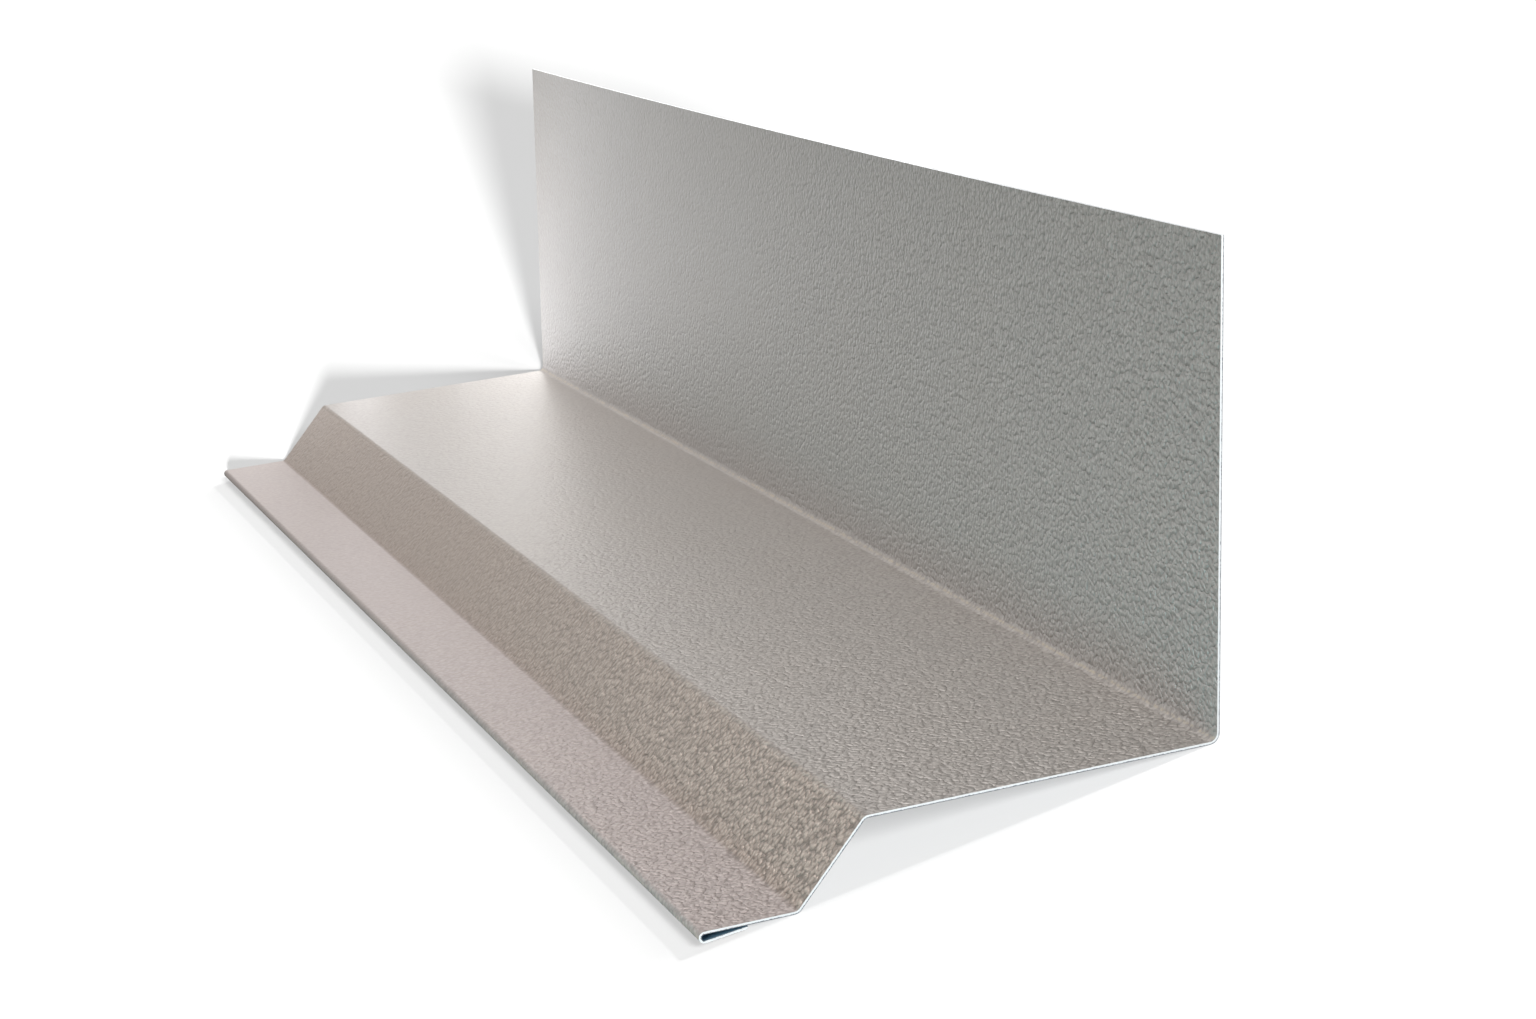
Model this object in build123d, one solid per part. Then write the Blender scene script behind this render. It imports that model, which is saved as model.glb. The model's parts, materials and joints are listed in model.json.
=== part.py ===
from build123d import *
from math import asin, atan2, cos, degrees, hypot, radians, sin
import os

# Sidewall flashing: one length of coated steel sheet, folded on a brake.
# The section runs from the hem over the foot, the slope and the deck to the top of the wall leg.
# It is drawn by its visible face, with the deck level, and the sheet lies under that face.
# The finished piece lies as it rests on a floor: X along its length, Y from the hem to the wall.

# Sheet and piece, in millimetres
piece_length = 609.6
sheet_thickness = 0.7

# Legs of the section, between the sharp corners of the visible face
wall_height = 127.0
deck_width = 95.25
step_height = 20.3
step_run = 19.2
foot_width = 25.4

# Angle between the deck and the wall leg, in degrees
corner_opening = 94.5

# Inside radii of the brake bends
crease_radius = 1.9
corner_radius = 2.2

# Hem: an open fold under the foot, whose turned-back leg closes towards the foot
hem_bore = 1.5
hem_leg = 11.0
hem_tip_gap = 0.2


def along(angle, length):
    """Vector of a length at an angle in degrees from the level of the deck."""
    return Vector(cos(radians(angle)), sin(radians(angle))) * length


def hem_closing_angle():
    """Angle at which the hem's leg rises, so that its tip stops just under the foot."""
    bore_radius = hem_bore / 2
    reach = hypot(hem_leg, bore_radius)
    return degrees(asin((bore_radius - hem_tip_gap) / reach) + atan2(bore_radius, hem_leg))


def visible_face():
    """Line of the visible face, from the tip of the hem's leg to the top of the wall leg."""
    fold_radius = hem_bore / 2 + sheet_thickness
    fold_centre = Vector(fold_radius, -fold_radius)
    foot_start = Vector(fold_radius, 0)
    step_foot = Vector(foot_width, 0)
    step_top = step_foot + Vector(step_run, step_height)
    corner = step_top + Vector(deck_width, 0)
    wall_top = corner + along(180 - corner_opening, wall_height)

    closing = hem_closing_angle()
    leg_start = fold_centre + along(closing - 90, fold_radius)
    leg_tip = leg_start + along(closing, hem_leg)

    with BuildLine() as face:
        Line(leg_tip, leg_start)
        CenterArc(fold_centre, fold_radius, closing - 90, -180 - closing)
        FilletPolyline(
            foot_start,
            step_foot,
            step_top,
            corner,
            wall_top,
            radius=[crease_radius, crease_radius + sheet_thickness, corner_radius],
        )
    return face.wire()


def rest_angle(face):
    """Angle by which the deck tips back, so that the piece stands on two of its round bends."""
    bends = face.edges().filter_by(GeomType.CIRCLE).sort_by(Axis.X)
    hem_fold, foot_bend, _, corner_bend = bends
    corner_outside = corner_bend.radius + sheet_thickness
    front_bends = [
        (hem_fold.arc_center, hem_fold.radius),
        (foot_bend.arc_center, foot_bend.radius + sheet_thickness),
    ]
    angles = []
    for centre, outside in front_bends:
        span = corner_bend.arc_center - centre
        angles.append(atan2(span.Y, span.X) + asin((outside - corner_outside) / span.length))
    return degrees(max(angles))


def resting_section():
    """Section of the sheet, tipped to its rest angle, standing on zero and centred across."""
    face = visible_face()
    outline = offset(face, amount=sheet_thickness, side=Side.RIGHT)
    tipped = Rot(0, 0, -rest_angle(face)) * make_face(outline.edges())
    box = tipped.bounding_box()
    return Pos(-box.center().X, -box.min.Y) * tipped


flashing_sheet = extrude(Plane.YZ * resting_section(), amount=piece_length / 2, both=True)
flashing_sheet.label = "flashing_sheet"

os.makedirs("parts", exist_ok=True)
export_step(flashing_sheet, "parts/flashing_sheet.step")
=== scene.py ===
import json
import math

import bmesh
import bpy
from mathutils import Matrix, Vector


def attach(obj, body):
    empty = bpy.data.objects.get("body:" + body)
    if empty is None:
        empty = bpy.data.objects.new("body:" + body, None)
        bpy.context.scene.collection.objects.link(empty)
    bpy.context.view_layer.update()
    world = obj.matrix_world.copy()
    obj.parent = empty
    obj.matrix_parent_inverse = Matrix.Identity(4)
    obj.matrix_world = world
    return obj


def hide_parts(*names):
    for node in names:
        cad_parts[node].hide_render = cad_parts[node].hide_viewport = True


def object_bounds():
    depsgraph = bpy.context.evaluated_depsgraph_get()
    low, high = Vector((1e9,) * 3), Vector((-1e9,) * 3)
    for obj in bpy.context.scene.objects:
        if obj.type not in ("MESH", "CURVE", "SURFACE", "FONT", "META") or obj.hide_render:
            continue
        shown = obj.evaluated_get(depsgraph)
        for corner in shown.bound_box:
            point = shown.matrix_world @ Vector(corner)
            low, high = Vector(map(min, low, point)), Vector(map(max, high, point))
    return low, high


# Sidewall flashing: one sheet of crinkle-coated steel, folded on a brake.
# A flat blank is cut, Geometry Nodes fold it line by line, and it lies in the place of the CAD sheet.

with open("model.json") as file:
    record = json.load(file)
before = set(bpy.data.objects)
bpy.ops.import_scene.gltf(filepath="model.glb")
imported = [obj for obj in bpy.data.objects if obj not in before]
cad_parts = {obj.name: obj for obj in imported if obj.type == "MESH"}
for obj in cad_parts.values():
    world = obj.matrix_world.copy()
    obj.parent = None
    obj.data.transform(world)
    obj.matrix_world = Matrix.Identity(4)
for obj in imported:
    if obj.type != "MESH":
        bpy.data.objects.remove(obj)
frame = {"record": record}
cad_low, cad_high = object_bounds()

MM = 0.001


def colour(red, green, blue):
    """A screen colour, 0 to 255 a channel, as linear light."""
    linear = []
    for channel in (red, green, blue):
        share = channel / 255
        linear.append(share / 12.92 if share <= 0.04045 else ((share + 0.055) / 1.055) ** 2.4)
    return (*linear, 1.0)


def grey(level):
    """A grey of a linear level."""
    return (level, level, level, 1.0)


# Sheet, with the same sizes as the CAD part
LENGTH = cad_high.x - cad_low.x
SHEET = 0.7 * MM
WALL_HEIGHT = 127.0 * MM
DECK_WIDTH = 95.25 * MM
STEP_HEIGHT = 20.3 * MM
STEP_RUN = 19.2 * MM
FOOT_WIDTH = 25.4 * MM
CORNER_OPENING = math.radians(94.5)
CREASE_RADIUS = 1.9 * MM
CORNER_RADIUS = 2.2 * MM
HEM_BORE = 1.5 * MM
HEM_LEG = 11.0 * MM
HEM_TIP_GAP = 0.2 * MM

# Soft edge that the shear leaves round the blank, on edges that turn by more than an angle
CUT_ROUNDING = 0.08 * MM
CUT_EDGE_TURN = math.radians(60)

# Spring of the wall leg's free top edge towards the front, halfway along
WALL_BOW = 2.6 * MM

# Mesh of the blank: longest step along and across, strip beside a bend, turn from line to line in a bend,
# and the turn past which an edge stays sharp
STEP_ALONG = 12.7 * MM
STEP_ACROSS = 12.0 * MM
BEND_MARGIN = 0.5 * MM
TURN_STEP = math.radians(6)
SHARP_TURN = math.radians(35)

# Screen colours of the coat: painted shade in its folds, its body, painted highlight on its crowns, brake
# wear with a painted highlight along the bends, and its clouds
COAT_GAP_PAINTED_SHADE = colour(112, 107, 102)
COAT_BODY = colour(169, 164, 159)
COAT_CROWN_PAINTED_HIGHLIGHT = colour(222, 217, 212)
COAT_WEAR_AND_HIGHLIGHT = colour(186, 175, 156)
COAT_CLOUD = colour(162, 162, 162)

# Painted light and shade of the coat: a tint on each leg of the blank for how light falls on it, and painted
# shade on the wall leg that deepens from its foot to its top
FOOT_PAINTED_SHADE = (0.783, 0.705, 0.705, 1.0)
SLOPE_PAINTED_SHADE = (0.73, 0.623, 0.562, 1.0)
DECK_PAINTED_SHADE = (0.8, 0.774, 0.762, 1.0)
WALL_LOW_PAINTED_SHADE = (0.935, 0.92, 0.925, 1.0)
WALL_HIGH_PAINTED_SHADE = (0.635, 0.627, 0.614, 1.0)
COAT_PAINTED_LIGHT_AND_SHADE = {
    "hem_leg": (FOOT_PAINTED_SHADE, FOOT_PAINTED_SHADE),
    "foot": (FOOT_PAINTED_SHADE, FOOT_PAINTED_SHADE),
    "slope": (SLOPE_PAINTED_SHADE, SLOPE_PAINTED_SHADE),
    "deck": (DECK_PAINTED_SHADE, DECK_PAINTED_SHADE),
    "wall": (WALL_LOW_PAINTED_SHADE, WALL_HIGH_PAINTED_SHADE),
}

# How high the crinkle stands on each leg, as a share of its full depth
COAT_RELIEF = {"hem_leg": 0.4, "foot": 0.38, "slope": 0.9, "deck": 0.45, "wall": 1.0}

# How strongly the painted shade in the folds and the painted highlight on the crowns show on each leg
COAT_PAINTED_SHADE_CONTRAST = {"hem_leg": 0.3, "foot": 0.36, "slope": 0.72, "deck": 0.38, "wall": 0.25}

# Where the grain clears along the length: from one place to another, its share at the first and at the second
COAT_CLEARS = (-0.05, 0.28, 0.25, 1.0)

# Crinkle of the coat: from blister to blister, and from crown to fold
COAT_GRAIN = 1.4 * MM
COAT_DEPTH = 0.5 * MM

# Crinkle pattern, in grains: scale and reach of the waver in the blisters' outlines, how fast a blister
# falls away from its middle, depth of the fine folds, and scale of the slow mottle
WAVER_SCALE = 0.6
WAVER_REACH = 1.1
BLISTER_FALL = 1.3
FOLD_DEPTH = 1.2
MOTTLE_SCALE = 0.04

# Range of the mottle, and the share of cloud that it brings to the coat at most
MOTTLE_RANGE = (0.3, 0.7)
CLOUD_SHARE = 0.125

# Crinkle heights that the painted shade and highlight of the coat run through, and heights at which the brake
# wear and painted highlight along a bend start and are full
PAINTED_SHADE_HEIGHTS = (0.25, 1.15)
WEAR_AND_HIGHLIGHT_HEIGHTS = (0.3, 1.0)

# Power that narrows the line of brake wear and painted highlight along the middle of a bend
WEAR_AND_HIGHLIGHT_EDGE = 14.0

# Coat's roughness from fold to crown, what a bend adds to it, the metal's share on a flat and in a bend,
# and the stored turn at which a bend's look is complete
COAT_ROUGHNESS = (0.52, 0.42)
BEND_ROUGHNESS = 0.22
COAT_METAL = (0.4, 0.1)
BEND_FULL = 0.7

# Hidden side: its wash coat's grain and shades, crinkle heights with the roughness at each, and metal's share
BACKER_GRAIN = 1.0 * MM
BACKER_LOW, BACKER_HIGH = colour(108, 146, 168), colour(120, 158, 180)
BACKER_HEIGHTS = (0.4, 0.9)
BACKER_ROUGHNESS = (0.5, 0.6)
BACKER_METAL = 0.15

# Cut edges: grain, crinkle heights with the depth at which the steel tore at each, as a share of the
# thickness, shades of the burnished and the torn band, their roughness, and metal's share
CUT_GRAIN = 0.3 * MM
TEAR_HEIGHTS = (0.3, 0.8)
TEAR_DEPTHS = (0.6, 0.8)
CUT_BURNISHED, CUT_TORN = colour(236, 240, 242), colour(104, 110, 118)
CUT_ROUGHNESS = (0.35, 0.6)
CUT_METAL = 0.4

# Faces of the blank, by skin
COATED, BACK, CUT = 0, 1, 2


# Node helpers, for geometry and shader trees alike

def place(tree, kind, **settings):
    """A new node with its settings."""
    node = tree.nodes.new(kind)
    for name, value in settings.items():
        setattr(node, name, value)
    return node


def feed(tree, target, value):
    """Give an input socket a value, or wire it to an output."""
    if isinstance(value, bpy.types.NodeSocket):
        tree.links.new(value, target)
    elif isinstance(value, bpy.types.Node):
        tree.links.new(value.outputs[0], target)
    else:
        target.default_value = value


def feed_all(tree, node, values):
    """Feed a node's inputs by their names."""
    for name, value in values.items():
        feed(tree, node.inputs[name], value)


def calc(tree, operation, *values):
    """Output of a math node."""
    node = place(tree, "ShaderNodeMath", operation=operation)
    for target, value in zip(node.inputs, values):
        feed(tree, target, value)
    return node.outputs[0]


def parts_of(tree, vector):
    """X, Y and Z of a vector."""
    node = place(tree, "ShaderNodeSeparateXYZ")
    feed(tree, node.inputs[0], vector)
    return node.outputs


def vector_of(tree, *parts):
    """A vector from its X, Y and Z."""
    node = place(tree, "ShaderNodeCombineXYZ")
    for target, value in zip(node.inputs, parts):
        feed(tree, target, value)
    return node.outputs[0]


def group_tree(name, kind, inputs, outputs):
    """An empty node group with its sockets, its inputs and its output node."""
    tree = bpy.data.node_groups.new(name, kind)
    for label, socket_type, default in inputs:
        socket = tree.interface.new_socket(label, in_out="INPUT", socket_type=socket_type)
        if default is not None:
            socket.default_value = default
    for label, socket_type in outputs:
        tree.interface.new_socket(label, in_out="OUTPUT", socket_type=socket_type)
    given = tree.nodes.new("NodeGroupInput")
    result = tree.nodes.new("NodeGroupOutput")
    return tree, given, result


# Object helpers

def mesh_from(shape, name):
    """A named mesh of a finished shape."""
    mesh = bpy.data.meshes.new(name)
    shape.to_mesh(mesh)
    shape.free()
    return mesh


def put(name, data):
    """A new object in the scene."""
    piece = bpy.data.objects.new(name, data)
    bpy.context.scene.collection.objects.link(piece)
    return piece


# Brake program: how far each leg runs flat, and how each bend turns

def hem_closing():
    """Angle at which the hem's leg rises towards the foot."""
    bore_radius = HEM_BORE / 2
    reach = math.hypot(HEM_LEG, bore_radius)
    return math.asin((bore_radius - HEM_TIP_GAP) / reach) + math.atan2(bore_radius, HEM_LEG)


def allowance(inside_radius, angle):
    """Width of sheet that a bend takes up, along the middle of its thickness."""
    return (inside_radius + SHEET / 2) * angle


corner_angle = math.pi - CORNER_OPENING
step_angle = math.atan2(STEP_HEIGHT, STEP_RUN)
step_setback = CREASE_RADIUS * math.tan(step_angle / 2)
brow_setback = (CREASE_RADIUS + SHEET) * math.tan(step_angle / 2)
corner_setback = CORNER_RADIUS * math.tan(corner_angle / 2)
hem_angle = math.pi + hem_closing()

flats = {
    "hem_leg": HEM_LEG,
    "foot": FOOT_WIDTH - HEM_BORE / 2 - SHEET - step_setback,
    "slope": math.hypot(STEP_HEIGHT, STEP_RUN) - step_setback - brow_setback,
    "deck": DECK_WIDTH - brow_setback - corner_setback,
    "wall": WALL_HEIGHT - corner_setback,
}
bends = {
    "hem": (HEM_BORE / 2, hem_angle),
    "step": (CREASE_RADIUS, step_angle),
    "brow": (CREASE_RADIUS, step_angle),
    "corner": (CORNER_RADIUS, corner_angle),
}
BEND_AFTER = {"hem_leg": "hem", "foot": "step", "slope": "brow", "deck": "corner"}

# Bend, whether it turns up, the side that swings and how far the brake wears the coat there, which also
# paints a highlight along the bend
BRAKE_ORDER = [
    ("corner", 1.0, 1.0, 1.0),
    ("brow", -1.0, 1.0, 0.93),
    ("step", 1.0, 1.0, 0.0),
    ("hem", -1.0, -1.0, 0.96),
]


def blank_layout():
    """Where each flat leg and each bend starts across the blank, and the blank's width."""
    starts, across = {}, 0.0
    for leg, width in flats.items():
        starts[leg] = across
        across += width
        if leg in BEND_AFTER:
            bend = BEND_AFTER[leg]
            starts[bend] = across
            across += allowance(*bends[bend])
    return starts, across


starts, BLANK_WIDTH = blank_layout()


# Flat blank

def stretch(low, high, longest):
    """Even stations from low up to, but not at, high."""
    count = max(1, math.ceil((high - low) / longest))
    return [low + (high - low) * step / count for step in range(count)]


def stations_across():
    """Lines across the blank: close together in the bends, wide apart on the flats."""
    lines = []
    for leg, width in flats.items():
        low, high = starts[leg], starts[leg] + width
        lines += [low] + stretch(low + BEND_MARGIN, high - BEND_MARGIN, STEP_ACROSS) + [high - BEND_MARGIN]
        if leg in BEND_AFTER:
            radius, angle = bends[BEND_AFTER[leg]]
            lines += stretch(high, high + allowance(radius, angle), allowance(radius, TURN_STEP))
    return lines + [BLANK_WIDTH]


def cut_blank():
    """The sheet as it is sheared: a thin slab with its visible face up, and slightly soft cut edges."""
    along = stretch(-LENGTH / 2, LENGTH / 2, STEP_ALONG) + [LENGTH / 2]
    across = stations_across()
    shape = bmesh.new()
    top, under = (
        [[shape.verts.new((x, y, height)) for y in across] for x in along] for height in (0.0, -SHEET)
    )
    skin = shape.faces.layers.int.new("skin")
    last_x, last_y = len(along) - 1, len(across) - 1
    for i in range(last_x):
        for j in range(last_y):
            face = shape.faces.new((top[i][j], top[i + 1][j], top[i + 1][j + 1], top[i][j + 1]))
            face[skin] = COATED
            back = shape.faces.new((under[i][j], under[i][j + 1], under[i + 1][j + 1], under[i + 1][j]))
            back[skin] = BACK
    rim = [(i, 0) for i in range(last_x)] + [(last_x, j) for j in range(last_y)]
    rim += [(i, last_y) for i in range(last_x, 0, -1)] + [(0, j) for j in range(last_y, 0, -1)]
    for (i, j), (m, n) in zip(rim, rim[1:] + rim[:1]):
        face = shape.faces.new((top[i][j], under[i][j], under[m][n], top[m][n]))
        face[skin] = CUT
    edges = [edge for edge in shape.edges if edge.calc_face_angle() > CUT_EDGE_TURN]
    bmesh.ops.bevel(shape, geom=edges, offset=CUT_ROUNDING, segments=2, profile=0.5, affect="EDGES")
    return mesh_from(shape, "flashing_blank")


# Geometry Nodes: the brake

def recall(tree, name, data_type="FLOAT"):
    """A value that was stored on the sheet."""
    node = place(tree, "GeometryNodeInputNamedAttribute", data_type=data_type)
    feed(tree, node.inputs["Name"], name)
    return node.outputs["Attribute"]


def remember(tree, geometry, name, value):
    """The sheet with a value stored on its points."""
    node = place(tree, "GeometryNodeStoreNamedAttribute", data_type="FLOAT", domain="POINT")
    feed_all(tree, node, {"Geometry": geometry, "Name": name, "Value": value})
    return node.outputs["Geometry"]


def moved(tree, geometry, socket, value):
    """The sheet with its points moved, to a Position or by an Offset."""
    node = place(tree, "GeometryNodeSetPosition")
    feed_all(tree, node, {"Geometry": geometry, socket: value})
    return node.outputs["Geometry"]


def brake_bend_group():
    """Folds whatever lies beyond a line, round an inside radius, up or down, on either side."""
    tree, given, result = group_tree(
        "brake_bend",
        "GeometryNodeTree",
        [
            ("Geometry", "NodeSocketGeometry", None),
            ("Line", "NodeSocketFloat", 0.0),
            ("Inside Radius", "NodeSocketFloat", CREASE_RADIUS),
            ("Angle", "NodeSocketFloat", step_angle),
            ("Sheet", "NodeSocketFloat", SHEET),
            ("Upward", "NodeSocketFloat", 1.0),
            ("Side", "NodeSocketFloat", 1.0),
            ("Wear And Highlight", "NodeSocketFloat", 0.0),
        ],
        [("Geometry", "NodeSocketGeometry")],
    )
    line, radius, angle, sheet, upward, side, wear_and_highlight_share = given.outputs[1:8]
    x, y, z = parts_of(tree, place(tree, "GeometryNodeInputPosition"))
    beyond = calc(tree, "MULTIPLY", calc(tree, "SUBTRACT", y, line), side)
    neutral = calc(tree, "MULTIPLY_ADD", sheet, 0.5, radius)
    turned = calc(tree, "MAXIMUM", calc(tree, "DIVIDE", beyond, neutral), 0.0)
    turned = calc(tree, "MINIMUM", turned, angle)
    taken = calc(tree, "MULTIPLY", neutral, angle)
    rest = calc(tree, "MAXIMUM", calc(tree, "SUBTRACT", beyond, taken), 0.0)
    before = calc(tree, "MINIMUM", beyond, 0.0)

    # The bend's axis lies a radius above the face, or a radius below the back
    under = calc(tree, "MULTIPLY", calc(tree, "MULTIPLY_ADD", upward, 0.5, -0.5), sheet)
    axis = calc(tree, "MULTIPLY_ADD", upward, radius, under)
    arm = calc(tree, "MULTIPLY", calc(tree, "SUBTRACT", axis, z), upward)
    sine, cosine = calc(tree, "SINE", turned), calc(tree, "COSINE", turned)
    swung = calc(tree, "MULTIPLY_ADD", arm, sine, calc(tree, "MULTIPLY_ADD", rest, cosine, before))
    new_y = calc(tree, "MULTIPLY_ADD", swung, side, line)
    lift = calc(tree, "SUBTRACT", calc(tree, "MULTIPLY", rest, sine), calc(tree, "MULTIPLY", arm, cosine))
    new_z = calc(tree, "MULTIPLY_ADD", lift, upward, axis)

    # How strongly the coat is worked here: 1 in the middle of the bend, 0 on the flats; times the wear share
    # it marks the brake wear and painted highlight
    share = calc(tree, "DIVIDE", turned, angle)
    hump = calc(tree, "MULTIPLY", calc(tree, "MULTIPLY", share, calc(tree, "SUBTRACT", 1.0, share)), 4.0)
    worked_and_lit = calc(tree, "MULTIPLY", hump, wear_and_highlight_share)
    sheet_now = given.outputs["Geometry"]
    for name, value in (("bend", worked_and_lit), ("turn", hump)):
        sheet_now = remember(tree, sheet_now, name, calc(tree, "MAXIMUM", recall(tree, name), value))
    sheet_now = moved(tree, sheet_now, "Position", vector_of(tree, x, new_y, new_z))
    feed(tree, result.inputs[0], sheet_now)
    return tree


def folding_group(materials):
    """The whole brake program, the spring of the wall's free edge, and the three finishes."""
    inputs = [("Geometry", "NodeSocketGeometry", None), ("Sheet", "NodeSocketFloat", SHEET)]
    for bend, _, _, _ in BRAKE_ORDER:
        radius, angle = bends[bend]
        inputs.append((bend + " line", "NodeSocketFloat", 0.0))
        inputs.append((bend + " radius", "NodeSocketFloat", radius))
        inputs.append((bend + " angle", "NodeSocketFloat", angle))
    inputs += [
        ("Rest Angle", "NodeSocketFloat", 0.0),
        ("Length", "NodeSocketFloat", LENGTH),
        ("Wall Line", "NodeSocketFloat", 0.0),
        ("Wall Height", "NodeSocketFloat", WALL_HEIGHT),
        ("Wall Bow", "NodeSocketFloat", 0.0),
    ]
    tree, given, result = group_tree(
        "fold_flashing", "GeometryNodeTree", inputs, [("Geometry", "NodeSocketGeometry")]
    )
    position = place(tree, "GeometryNodeInputPosition")
    point = parts_of(tree, position)
    depth = calc(tree, "DIVIDE", point["Z"], calc(tree, "MULTIPLY", given.outputs["Sheet"], -1.0))
    sheet = remember(tree, given.outputs["Geometry"], "across", point["Y"])
    sheet = remember(tree, sheet, "depth", depth)

    brake = brake_bend_group()
    for bend, upward, side, wear_and_highlight_share in BRAKE_ORDER:
        fold = place(tree, "GeometryNodeGroup", node_tree=brake)
        feed_all(tree, fold, {
            "Geometry": sheet,
            "Line": given.outputs[bend + " line"],
            "Inside Radius": given.outputs[bend + " radius"],
            "Angle": given.outputs[bend + " angle"],
            "Sheet": given.outputs["Sheet"],
            "Upward": upward,
            "Side": side,
            "Wear And Highlight": wear_and_highlight_share,
        })
        sheet = fold.outputs[0]

    # At rest the piece tips back
    tip = place(tree, "ShaderNodeVectorRotate", rotation_type="X_AXIS")
    feed_all(tree, tip, {"Vector": position, "Angle": given.outputs["Rest Angle"]})
    sheet = moved(tree, sheet, "Position", tip)

    # The wall leg springs forward most at its top edge, halfway along, and not at all at its ends
    up_wall = calc(tree, "SUBTRACT", recall(tree, "across"), given.outputs["Wall Line"])
    up_wall = calc(tree, "MAXIMUM", calc(tree, "DIVIDE", up_wall, given.outputs["Wall Height"]), 0.0)
    end_share = calc(tree, "DIVIDE", point["X"], given.outputs["Length"])
    middle = calc(tree, "MULTIPLY_ADD", calc(tree, "MULTIPLY", end_share, end_share), -4.0, 1.0)
    spring = calc(tree, "MULTIPLY", calc(tree, "MULTIPLY", up_wall, up_wall), middle)
    forward = calc(tree, "MULTIPLY", spring, given.outputs["Wall Bow"])
    sheet = moved(tree, sheet, "Offset", vector_of(tree, 0.0, forward, 0.0))

    real = place(tree, "GeometryNodeRealizeInstances")
    feed(tree, real.inputs[0], sheet)
    sheet = real.outputs[0]
    skin = recall(tree, "skin", "INT")
    for number, material in enumerate(materials):
        same = place(tree, "FunctionNodeCompare", data_type="INT", operation="EQUAL")
        feed(tree, same.inputs[2], skin)
        feed(tree, same.inputs[3], number)
        paint = place(tree, "GeometryNodeSetMaterial")
        feed_all(tree, paint, {"Geometry": sheet, "Selection": same, "Material": material})
        sheet = paint.outputs[0]
    feed(tree, result.inputs[0], sheet)
    return tree


def set_inputs(modifier, values):
    """Set a Geometry Nodes modifier's inputs by their sockets' identifiers."""
    for item in modifier.node_group.interface.items_tree:
        if item.item_type == "SOCKET" and item.in_out == "INPUT" and item.name in values:
            modifier[item.identifier] = values[item.name]


def folded_sheet(materials):
    """The blank folded by the nodes, as a plain mesh, turned and moved to where the CAD sheet lies."""
    blank = put("blank", cut_blank())
    fold = blank.modifiers.new("fold", "NODES")
    fold.node_group = folding_group(materials)

    # The deck's mount says how far the piece tips back at rest
    mounts = {mount["name"]: mount for mount in frame["record"]["mounts"]}
    _, lean_y, lean_z = mounts["deck_underside"]["axis"]
    values = {
        "Sheet": SHEET,
        "Rest Angle": -math.atan2(-lean_y, -lean_z),
        "Length": LENGTH,
        "Wall Line": starts["wall"],
        "Wall Height": WALL_HEIGHT,
        "Wall Bow": -WALL_BOW,
    }
    for bend, (radius, angle) in bends.items():
        line = starts["foot"] if bend == "hem" else starts[bend]
        values.update({bend + " line": line, bend + " radius": radius, bend + " angle": angle})
    set_inputs(fold, values)
    graph = bpy.context.evaluated_depsgraph_get()
    mesh = bpy.data.meshes.new_from_object(blank.evaluated_get(graph))
    blank.modifiers.remove(fold)
    bpy.data.objects.remove(blank)
    mesh.name = "flashing_sheet_folded"
    low_y = min(vertex.co.y for vertex in mesh.vertices)
    low_z = min(vertex.co.z for vertex in mesh.vertices)
    mesh.transform(Matrix.Translation((0, cad_low.y - low_y, cad_low.z - low_z)))
    mesh.shade_smooth()
    mesh.set_sharp_from_angle(angle=SHARP_TURN)
    return put("folded_sheet", mesh)


# Finishes

def new_material(name):
    """A material with an empty tree but for its shader."""
    material = bpy.data.materials.new(name)
    material.use_nodes = True
    tree = material.node_tree
    return material, tree, tree.nodes["Principled BSDF"]


def noise(tree, vector, scale, detail):
    """A noise texture at a scale."""
    node = place(tree, "ShaderNodeTexNoise")
    feed_all(tree, node, {"Vector": vector, "Scale": scale, "Detail": detail})
    return node


def crinkle_group():
    """Crinkle coat: packed low blisters of uneven size, with pits and fine folds between them."""
    tree, given, result = group_tree(
        "crinkle",
        "ShaderNodeTree",
        [("Vector", "NodeSocketVector", None), ("Grain", "NodeSocketFloat", COAT_GRAIN)],
        [("Height", "NodeSocketFloat"), ("Mottle", "NodeSocketFloat")],
    )
    vector, size = given.outputs["Vector"], given.outputs["Grain"]
    per_grain = calc(tree, "DIVIDE", 1.0, size)
    waver = noise(tree, vector, calc(tree, "MULTIPLY", per_grain, WAVER_SCALE), 1.0)
    reach = calc(tree, "MULTIPLY", size, WAVER_REACH)
    push = place(tree, "ShaderNodeVectorMath", operation="MULTIPLY_ADD")
    feed(tree, push.inputs[0], waver.outputs["Color"])
    feed(tree, push.inputs[1], vector_of(tree, reach, reach, reach))
    feed(tree, push.inputs[2], vector)
    blister = place(tree, "ShaderNodeTexVoronoi", feature="F1")
    feed_all(tree, blister, {"Vector": push, "Scale": per_grain})
    dome = calc(tree, "MULTIPLY", blister.outputs["Distance"], blister.outputs["Distance"])
    dome = calc(tree, "SUBTRACT", 1.0, calc(tree, "MULTIPLY", dome, BLISTER_FALL))
    fold = noise(tree, push, per_grain, 1.0)
    height = calc(tree, "MULTIPLY_ADD", calc(tree, "SUBTRACT", fold.outputs[0], 0.5), FOLD_DEPTH, dome)
    mottle = noise(tree, vector, calc(tree, "MULTIPLY", per_grain, MOTTLE_SCALE), 3.0)
    feed_all(tree, result, {"Height": height, "Mottle": mottle})
    return tree


def object_place(tree):
    """Object coordinates, which stay with the piece."""
    return place(tree, "ShaderNodeTexCoord").outputs["Object"]


def crinkled(tree, crinkle, grain):
    """Height and mottle of the crinkle pattern at one grain."""
    pattern = place(tree, "ShaderNodeGroup", node_tree=crinkle)
    feed_all(tree, pattern, {"Vector": object_place(tree), "Grain": grain})
    return pattern.outputs["Height"], pattern.outputs["Mottle"]


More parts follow.
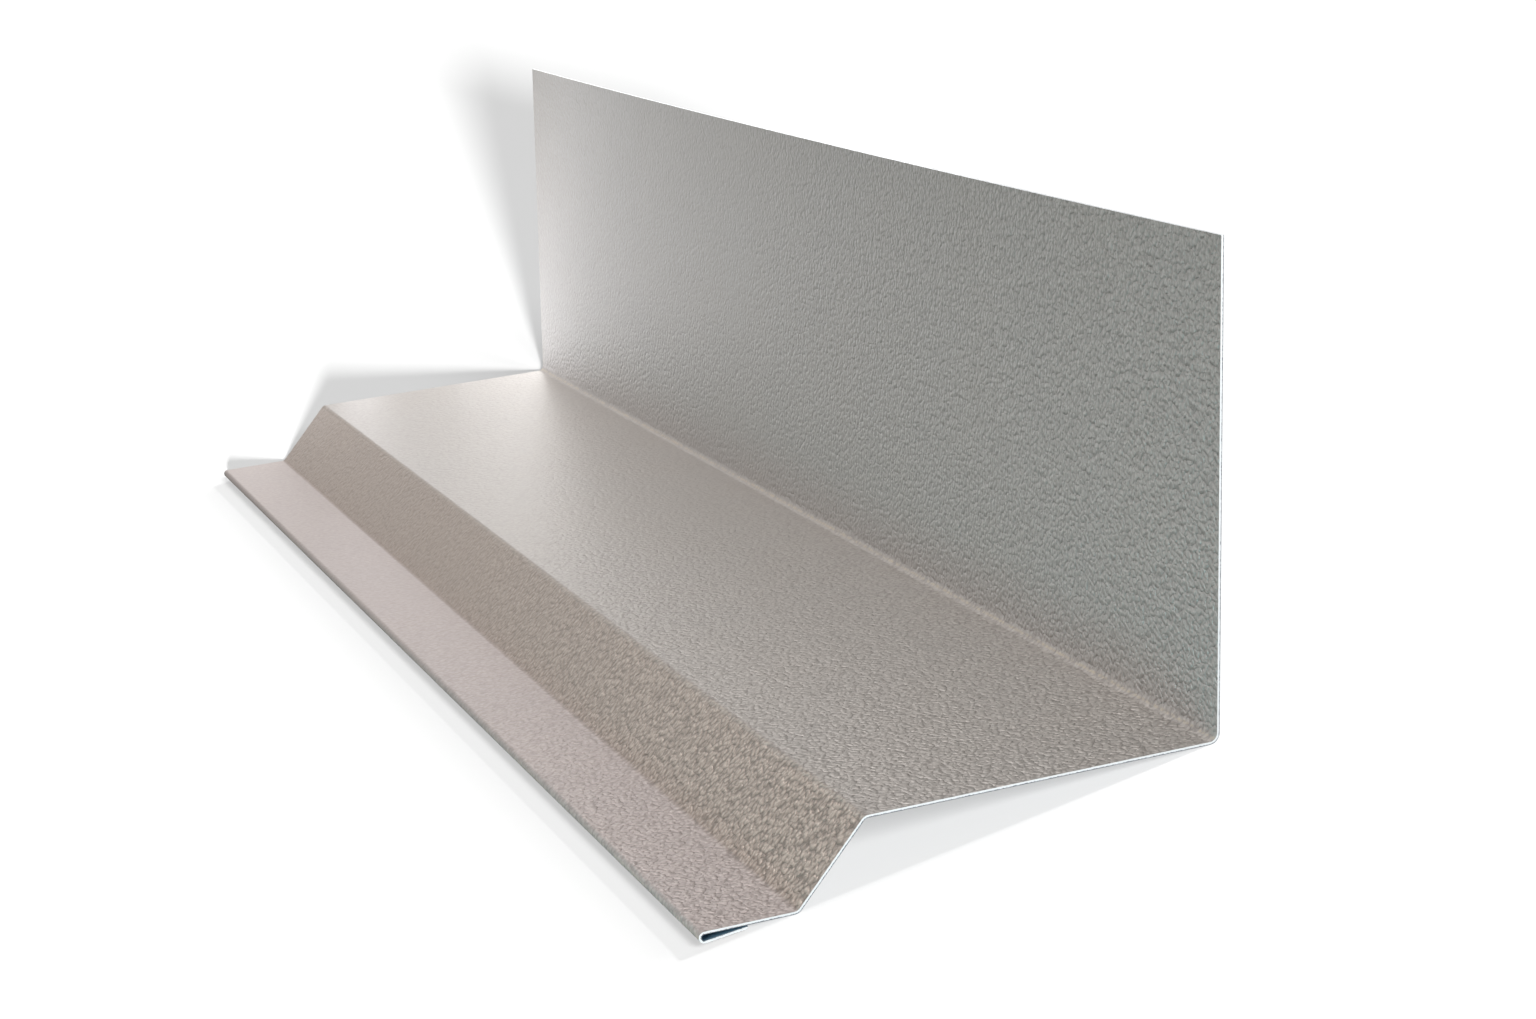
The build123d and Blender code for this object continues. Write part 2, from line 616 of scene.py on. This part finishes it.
def ramp(tree, value, stops):
    """Colour ramp over a value, from (place, colour) stops."""
    node = place(tree, "ShaderNodeValToRGB")
    points = node.color_ramp.elements
    while len(points) < len(stops):
        points.new(0.5)
    for point, (position, shade) in zip(points, stops):
        point.position, point.color = position, shade
    feed(tree, node.inputs[0], value)
    return node.outputs[0]


def spread(tree, value, low, high, new_low, new_high):
    """A value mapped from one range to another, held at the ends."""
    node = place(tree, "ShaderNodeMapRange")
    for target, number in zip(node.inputs, (value, low, high, new_low, new_high)):
        feed(tree, target, number)
    return node.outputs[0]


def mix_colours(tree, share, first, second, blend_type="MIX"):
    """One colour blended into another by a share."""
    node = place(tree, "ShaderNodeMix", data_type="RGBA", blend_type=blend_type)
    feed(tree, node.inputs[0], share)
    feed(tree, node.inputs[6], first)
    feed(tree, node.inputs[7], second)
    return node.outputs[2]


def stored(tree, name):
    """A value that the brake stored on the sheet."""
    return place(tree, "ShaderNodeAttribute", attribute_name=name).outputs["Fac"]


def by_leg(tree, looks):
    """Ramp across the sheet that runs from one shade to another on each leg, and blends in the bends."""
    stops = []
    for leg, (first, last) in looks.items():
        stops += [(starts[leg] / BLANK_WIDTH, first), ((starts[leg] + flats[leg]) / BLANK_WIDTH, last)]
    return ramp(tree, calc(tree, "DIVIDE", stored(tree, "across"), BLANK_WIDTH), stops)


def share_by_leg(tree, shares):
    """A share that each leg has from end to end, blended in the bends."""
    return by_leg(tree, {leg: (grey(share), grey(share)) for leg, share in shares.items()})


def coated_steel(crinkle):
    """Warm silver metallic coat with a crinkled grain: painted shade in its folds and painted highlight on
    its crowns, brake wear with a painted highlight on the crowns along the bends, and painted light and shade
    that differ by leg and darken the wall leg towards its top.
    """
    material, tree, shader = new_material("crinkle_coat")
    height, mottle = crinkled(tree, crinkle, COAT_GRAIN)
    clear = spread(tree, parts_of(tree, object_place(tree))["X"], *COAT_CLEARS)
    contrast = calc(tree, "MULTIPLY", clear, share_by_leg(tree, COAT_PAINTED_SHADE_CONTRAST))
    crown = calc(tree, "MULTIPLY_ADD", spread(tree, height, *PAINTED_SHADE_HEIGHTS, -0.5, 0.5), contrast, 0.5)
    # Painted shade in the crinkle's folds and painted highlight on its crowns
    shade = ramp(tree, crown, [(0.0, COAT_GAP_PAINTED_SHADE), (0.5, COAT_BODY), (1.0, COAT_CROWN_PAINTED_HIGHLIGHT)])
    # Brake wear with a painted highlight along the middle of each bend, on the crowns
    wear_and_highlight = calc(tree, "POWER", stored(tree, "bend"), WEAR_AND_HIGHLIGHT_EDGE)
    wear_and_highlight = calc(tree, "MULTIPLY", wear_and_highlight, spread(tree, height, *WEAR_AND_HIGHLIGHT_HEIGHTS, 0.0, 1.0))
    shade = mix_colours(tree, wear_and_highlight, shade, COAT_WEAR_AND_HIGHLIGHT)
    cloud = spread(tree, mottle, *MOTTLE_RANGE, 0.0, CLOUD_SHARE)
    shade = mix_colours(tree, cloud, shade, COAT_CLOUD)
    # Painted light and shade: each leg darkened by its own tint, and the wall leg darker towards its top
    shade = mix_colours(tree, 1.0, shade, by_leg(tree, COAT_PAINTED_LIGHT_AND_SHADE), "MULTIPLY")
    feed(tree, shader.inputs["Base Color"], shade)
    turn = spread(tree, stored(tree, "turn"), 0.0, BEND_FULL, 0.0, 1.0)
    gloss = spread(tree, crown, 0.0, 1.0, *COAT_ROUGHNESS)
    feed(tree, shader.inputs["Roughness"], calc(tree, "MULTIPLY_ADD", turn, BEND_ROUGHNESS, gloss))
    feed(tree, shader.inputs["Metallic"], spread(tree, turn, 0.0, 1.0, *COAT_METAL))
    relief = calc(tree, "MULTIPLY", share_by_leg(tree, COAT_RELIEF), clear)
    bump = place(tree, "ShaderNodeBump")
    relief = calc(tree, "MULTIPLY", height, relief)
    feed_all(tree, bump, {"Strength": 1.0, "Distance": COAT_DEPTH, "Height": relief})
    feed(tree, shader.inputs["Normal"], bump)
    return material


def backer_coat(crinkle):
    """Smooth blue-grey wash coat on the hidden side."""
    material, tree, shader = new_material("backer_coat")
    height, mottle = crinkled(tree, crinkle, BACKER_GRAIN)
    stops = list(zip(MOTTLE_RANGE, (BACKER_LOW, BACKER_HIGH)))
    feed(tree, shader.inputs["Base Color"], ramp(tree, mottle, stops))
    feed(tree, shader.inputs["Roughness"], spread(tree, height, *BACKER_HEIGHTS, *BACKER_ROUGHNESS))
    shader.inputs["Metallic"].default_value = BACKER_METAL
    return material


def cut_steel(crinkle):
    """Bare steel where the shear went through: burnished under the visible face, torn and dull below."""
    material, tree, shader = new_material("cut_steel")
    height, _ = crinkled(tree, crinkle, CUT_GRAIN)
    torn_from = spread(tree, height, *TEAR_HEIGHTS, *TEAR_DEPTHS)
    torn = calc(tree, "GREATER_THAN", stored(tree, "depth"), torn_from)
    feed(tree, shader.inputs["Base Color"], ramp(tree, torn, [(0.0, CUT_BURNISHED), (1.0, CUT_TORN)]))
    feed(tree, shader.inputs["Roughness"], spread(tree, torn, 0.0, 1.0, *CUT_ROUGHNESS))
    shader.inputs["Metallic"].default_value = CUT_METAL
    return material


# Studio

# Points that the lamps face, and their colours
MIDDLE, NEAR_END, FAR_END = (0, 0, 0.05), (0.2, 0, 0.05), (-0.2, 0, 0.05)
NEAR_FOOT, NEAR_WALL, FAR_DECK = (0.2, -0.06, 0.01), (0.25, 0.06, 0.07), (-0.3, 0.05, 0.03)
FAR_WALL, FAR_EDGE = (-0.29, 0.07, 0.065), (-0.345, 0.09, 0.07)
WHITE, COOL, PALE = (1.0, 1.0, 1.0), (0.0, 0.9, 1.0), (0.93, 0.95, 1.0)

# Lamps that light only the sheet: name, place, aim, width, height, watts and colour
LAMPS = [
    ("overhead_softbox", (-0.8, 0.2, 1.9), MIDDLE, 0.8, 0.8, 24.8, WHITE),
    ("far_overhead_softbox", (-1.6, 0.1, 0.9), FAR_END, 0.8, 0.5, 1.34, WHITE),
    ("near_left_softbox", (0.5, -0.5, 0.25), NEAR_FOOT, 0.3, 0.2, 1.58, WHITE),
    ("near_wall_softbox", (0.45, -0.6, 0.06), NEAR_WALL, 0.2, 0.12, 0.77, COOL),
    ("cut_end_softbox", (2.6, 0.5, 0.04), NEAR_END, 0.8, 0.06, 20.0, WHITE),
    ("far_deck_glow", (-0.55, 0.25, 0.12), FAR_DECK, 0.3, 0.2, 0.68, WHITE),
    ("far_wall_strip", (-0.42, -0.05, 0.07), FAR_WALL, 0.05, 0.18, 0.025, WHITE),
    ("far_edge_strip", (-0.38, 0.0, 0.08), FAR_WALL, 0.03, 0.22, 0.036, PALE),
    ("far_end_strip", (-0.36, 0.03, 0.07), FAR_EDGE, 0.03, 0.2, 0.079, PALE),
]

# Suns that light only the floor: name, direction towards the sun, strength and apparent size
FLOOR_SUNS = [
    ("floor_along", (0.975, -0.19, 0.115), 51.0, math.radians(3)),
    ("floor_right", (0.0, 0.83, 0.56), 5.2, math.radians(5)),
    ("floor_front", (0.9, 0.1, 0.42), 9.0, math.radians(16)),
]

# Floor: reach from its middle, glow and colour as it is seen, its colour as it scatters light, and roughness
FLOOR_REACH = 15.0
FLOOR_LIFT = 0.12
FLOOR_PALE, FLOOR_SHADE = colour(130, 130, 130), colour(70, 70, 70)
FLOOR_ROUGHNESS = 0.9

# Level of the surroundings as light
WORLD_LEVEL = 0.3

# Camera: focal length in pixels of the photograph, its range, its place, and the directions that run right
# and down in the picture
PHOTO_WIDTH = 1536
FOCAL_PIXELS = 3226.0
SENSOR_WIDTH = 36.0
CLIP_NEAR, CLIP_FAR = 0.05, 60.0
CAMERA_PLACE = (0.99803, -0.24128, 0.31477)
CAMERA_RIGHT = (0.34064, 0.90405, -0.25817)
CAMERA_DOWN = (0.19177, -0.33562, -0.92226)


def seen(tree):
    """1 where the camera looks, straight or by a reflection, and 0 for scattered light."""
    path = place(tree, "ShaderNodeLightPath")
    mirrored = calc(tree, "MAXIMUM", path.outputs["Is Glossy Ray"], path.outputs["Is Transmission Ray"])
    return calc(tree, "MAXIMUM", path.outputs["Is Camera Ray"], mirrored)


def studio_floor():
    """Wide pale floor that looks white and keeps the object's soft shadow."""
    shape = bmesh.new()
    bmesh.ops.create_grid(shape, x_segments=1, y_segments=1, size=FLOOR_REACH)
    mesh = mesh_from(shape, "studio_floor")
    material, tree, shader = new_material("pale_floor")
    looked_at = seen(tree)
    feed_all(tree, shader, {
        "Base Color": mix_colours(tree, looked_at, FLOOR_SHADE, FLOOR_PALE),
        "Roughness": FLOOR_ROUGHNESS,
        "Specular IOR Level": 0.0,
        "Emission Color": WHITE + (1.0,),
        "Emission Strength": calc(tree, "MULTIPLY", looked_at, FLOOR_LIFT),
    })
    mesh.materials.append(material)
    floor = put("studio_floor", mesh)
    return floor


def hang(lamp, place_at, aim, lit):
    """Put a lamp in its place, facing a point, so that it lights one object only."""
    holder = put(lamp.name, lamp)
    holder.location = place_at
    holder.rotation_euler = (Vector(aim) - Vector(place_at)).to_track_quat("-Z", "Y").to_euler()
    reached = bpy.data.collections.new(lamp.name + "_reaches")
    reached.objects.link(lit)
    holder.light_linking.receiver_collection = reached
    holder.visible_camera = False


def soft_light(lit, name, place_at, aim, width, height, watts, shade):
    """A soft lamp that faces a point."""
    lamp = bpy.data.lights.new(name, "AREA")
    lamp.shape = "RECTANGLE"
    lamp.size, lamp.size_y = width, height
    lamp.energy = watts
    lamp.color = shade
    hang(lamp, place_at, aim, lit)


def sun_light(lit, name, towards, strength, angle):
    """A soft sun in a direction."""
    lamp = bpy.data.lights.new(name, "SUN")
    lamp.energy = strength
    lamp.angle = angle
    hang(lamp, towards, (0, 0, 0), lit)


def studio_world(level):
    """Plain surroundings, the same on every side: white where they are seen, dimmer as light."""
    world = bpy.data.worlds.new("studio")
    bpy.context.scene.world = world
    world.use_nodes = True
    tree = world.node_tree
    strength = calc(tree, "MAXIMUM", seen(tree), level)
    feed_all(tree, tree.nodes["Background"], {"Color": WHITE + (1.0,), "Strength": strength})


def photo_camera():
    """The photograph's viewpoint: a long lens low over the near end, rolled as the picture is."""
    data = bpy.data.cameras.new("photo_camera")
    data.sensor_width = SENSOR_WIDTH
    data.lens = FOCAL_PIXELS / PHOTO_WIDTH * SENSOR_WIDTH
    data.clip_start, data.clip_end = CLIP_NEAR, CLIP_FAR
    camera = put("photo_camera", data)
    right, down = Vector(CAMERA_RIGHT), Vector(CAMERA_DOWN)
    turn = Matrix((right, -down, right.cross(-down))).transposed()
    camera.matrix_world = Matrix.Translation(CAMERA_PLACE) @ turn.to_4x4()
    bpy.context.scene.camera = camera


crinkle = crinkle_group()
sheet = folded_sheet([coated_steel(crinkle), backer_coat(crinkle), cut_steel(crinkle)])
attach(sheet, "root")
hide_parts("flashing_sheet")

floor = studio_floor()
studio_world(WORLD_LEVEL)
for lamp in LAMPS:
    soft_light(sheet, *lamp)
for sun in FLOOR_SUNS:
    sun_light(floor, *sun)
photo_camera()
bpy.context.scene.view_settings.view_transform = "Standard"
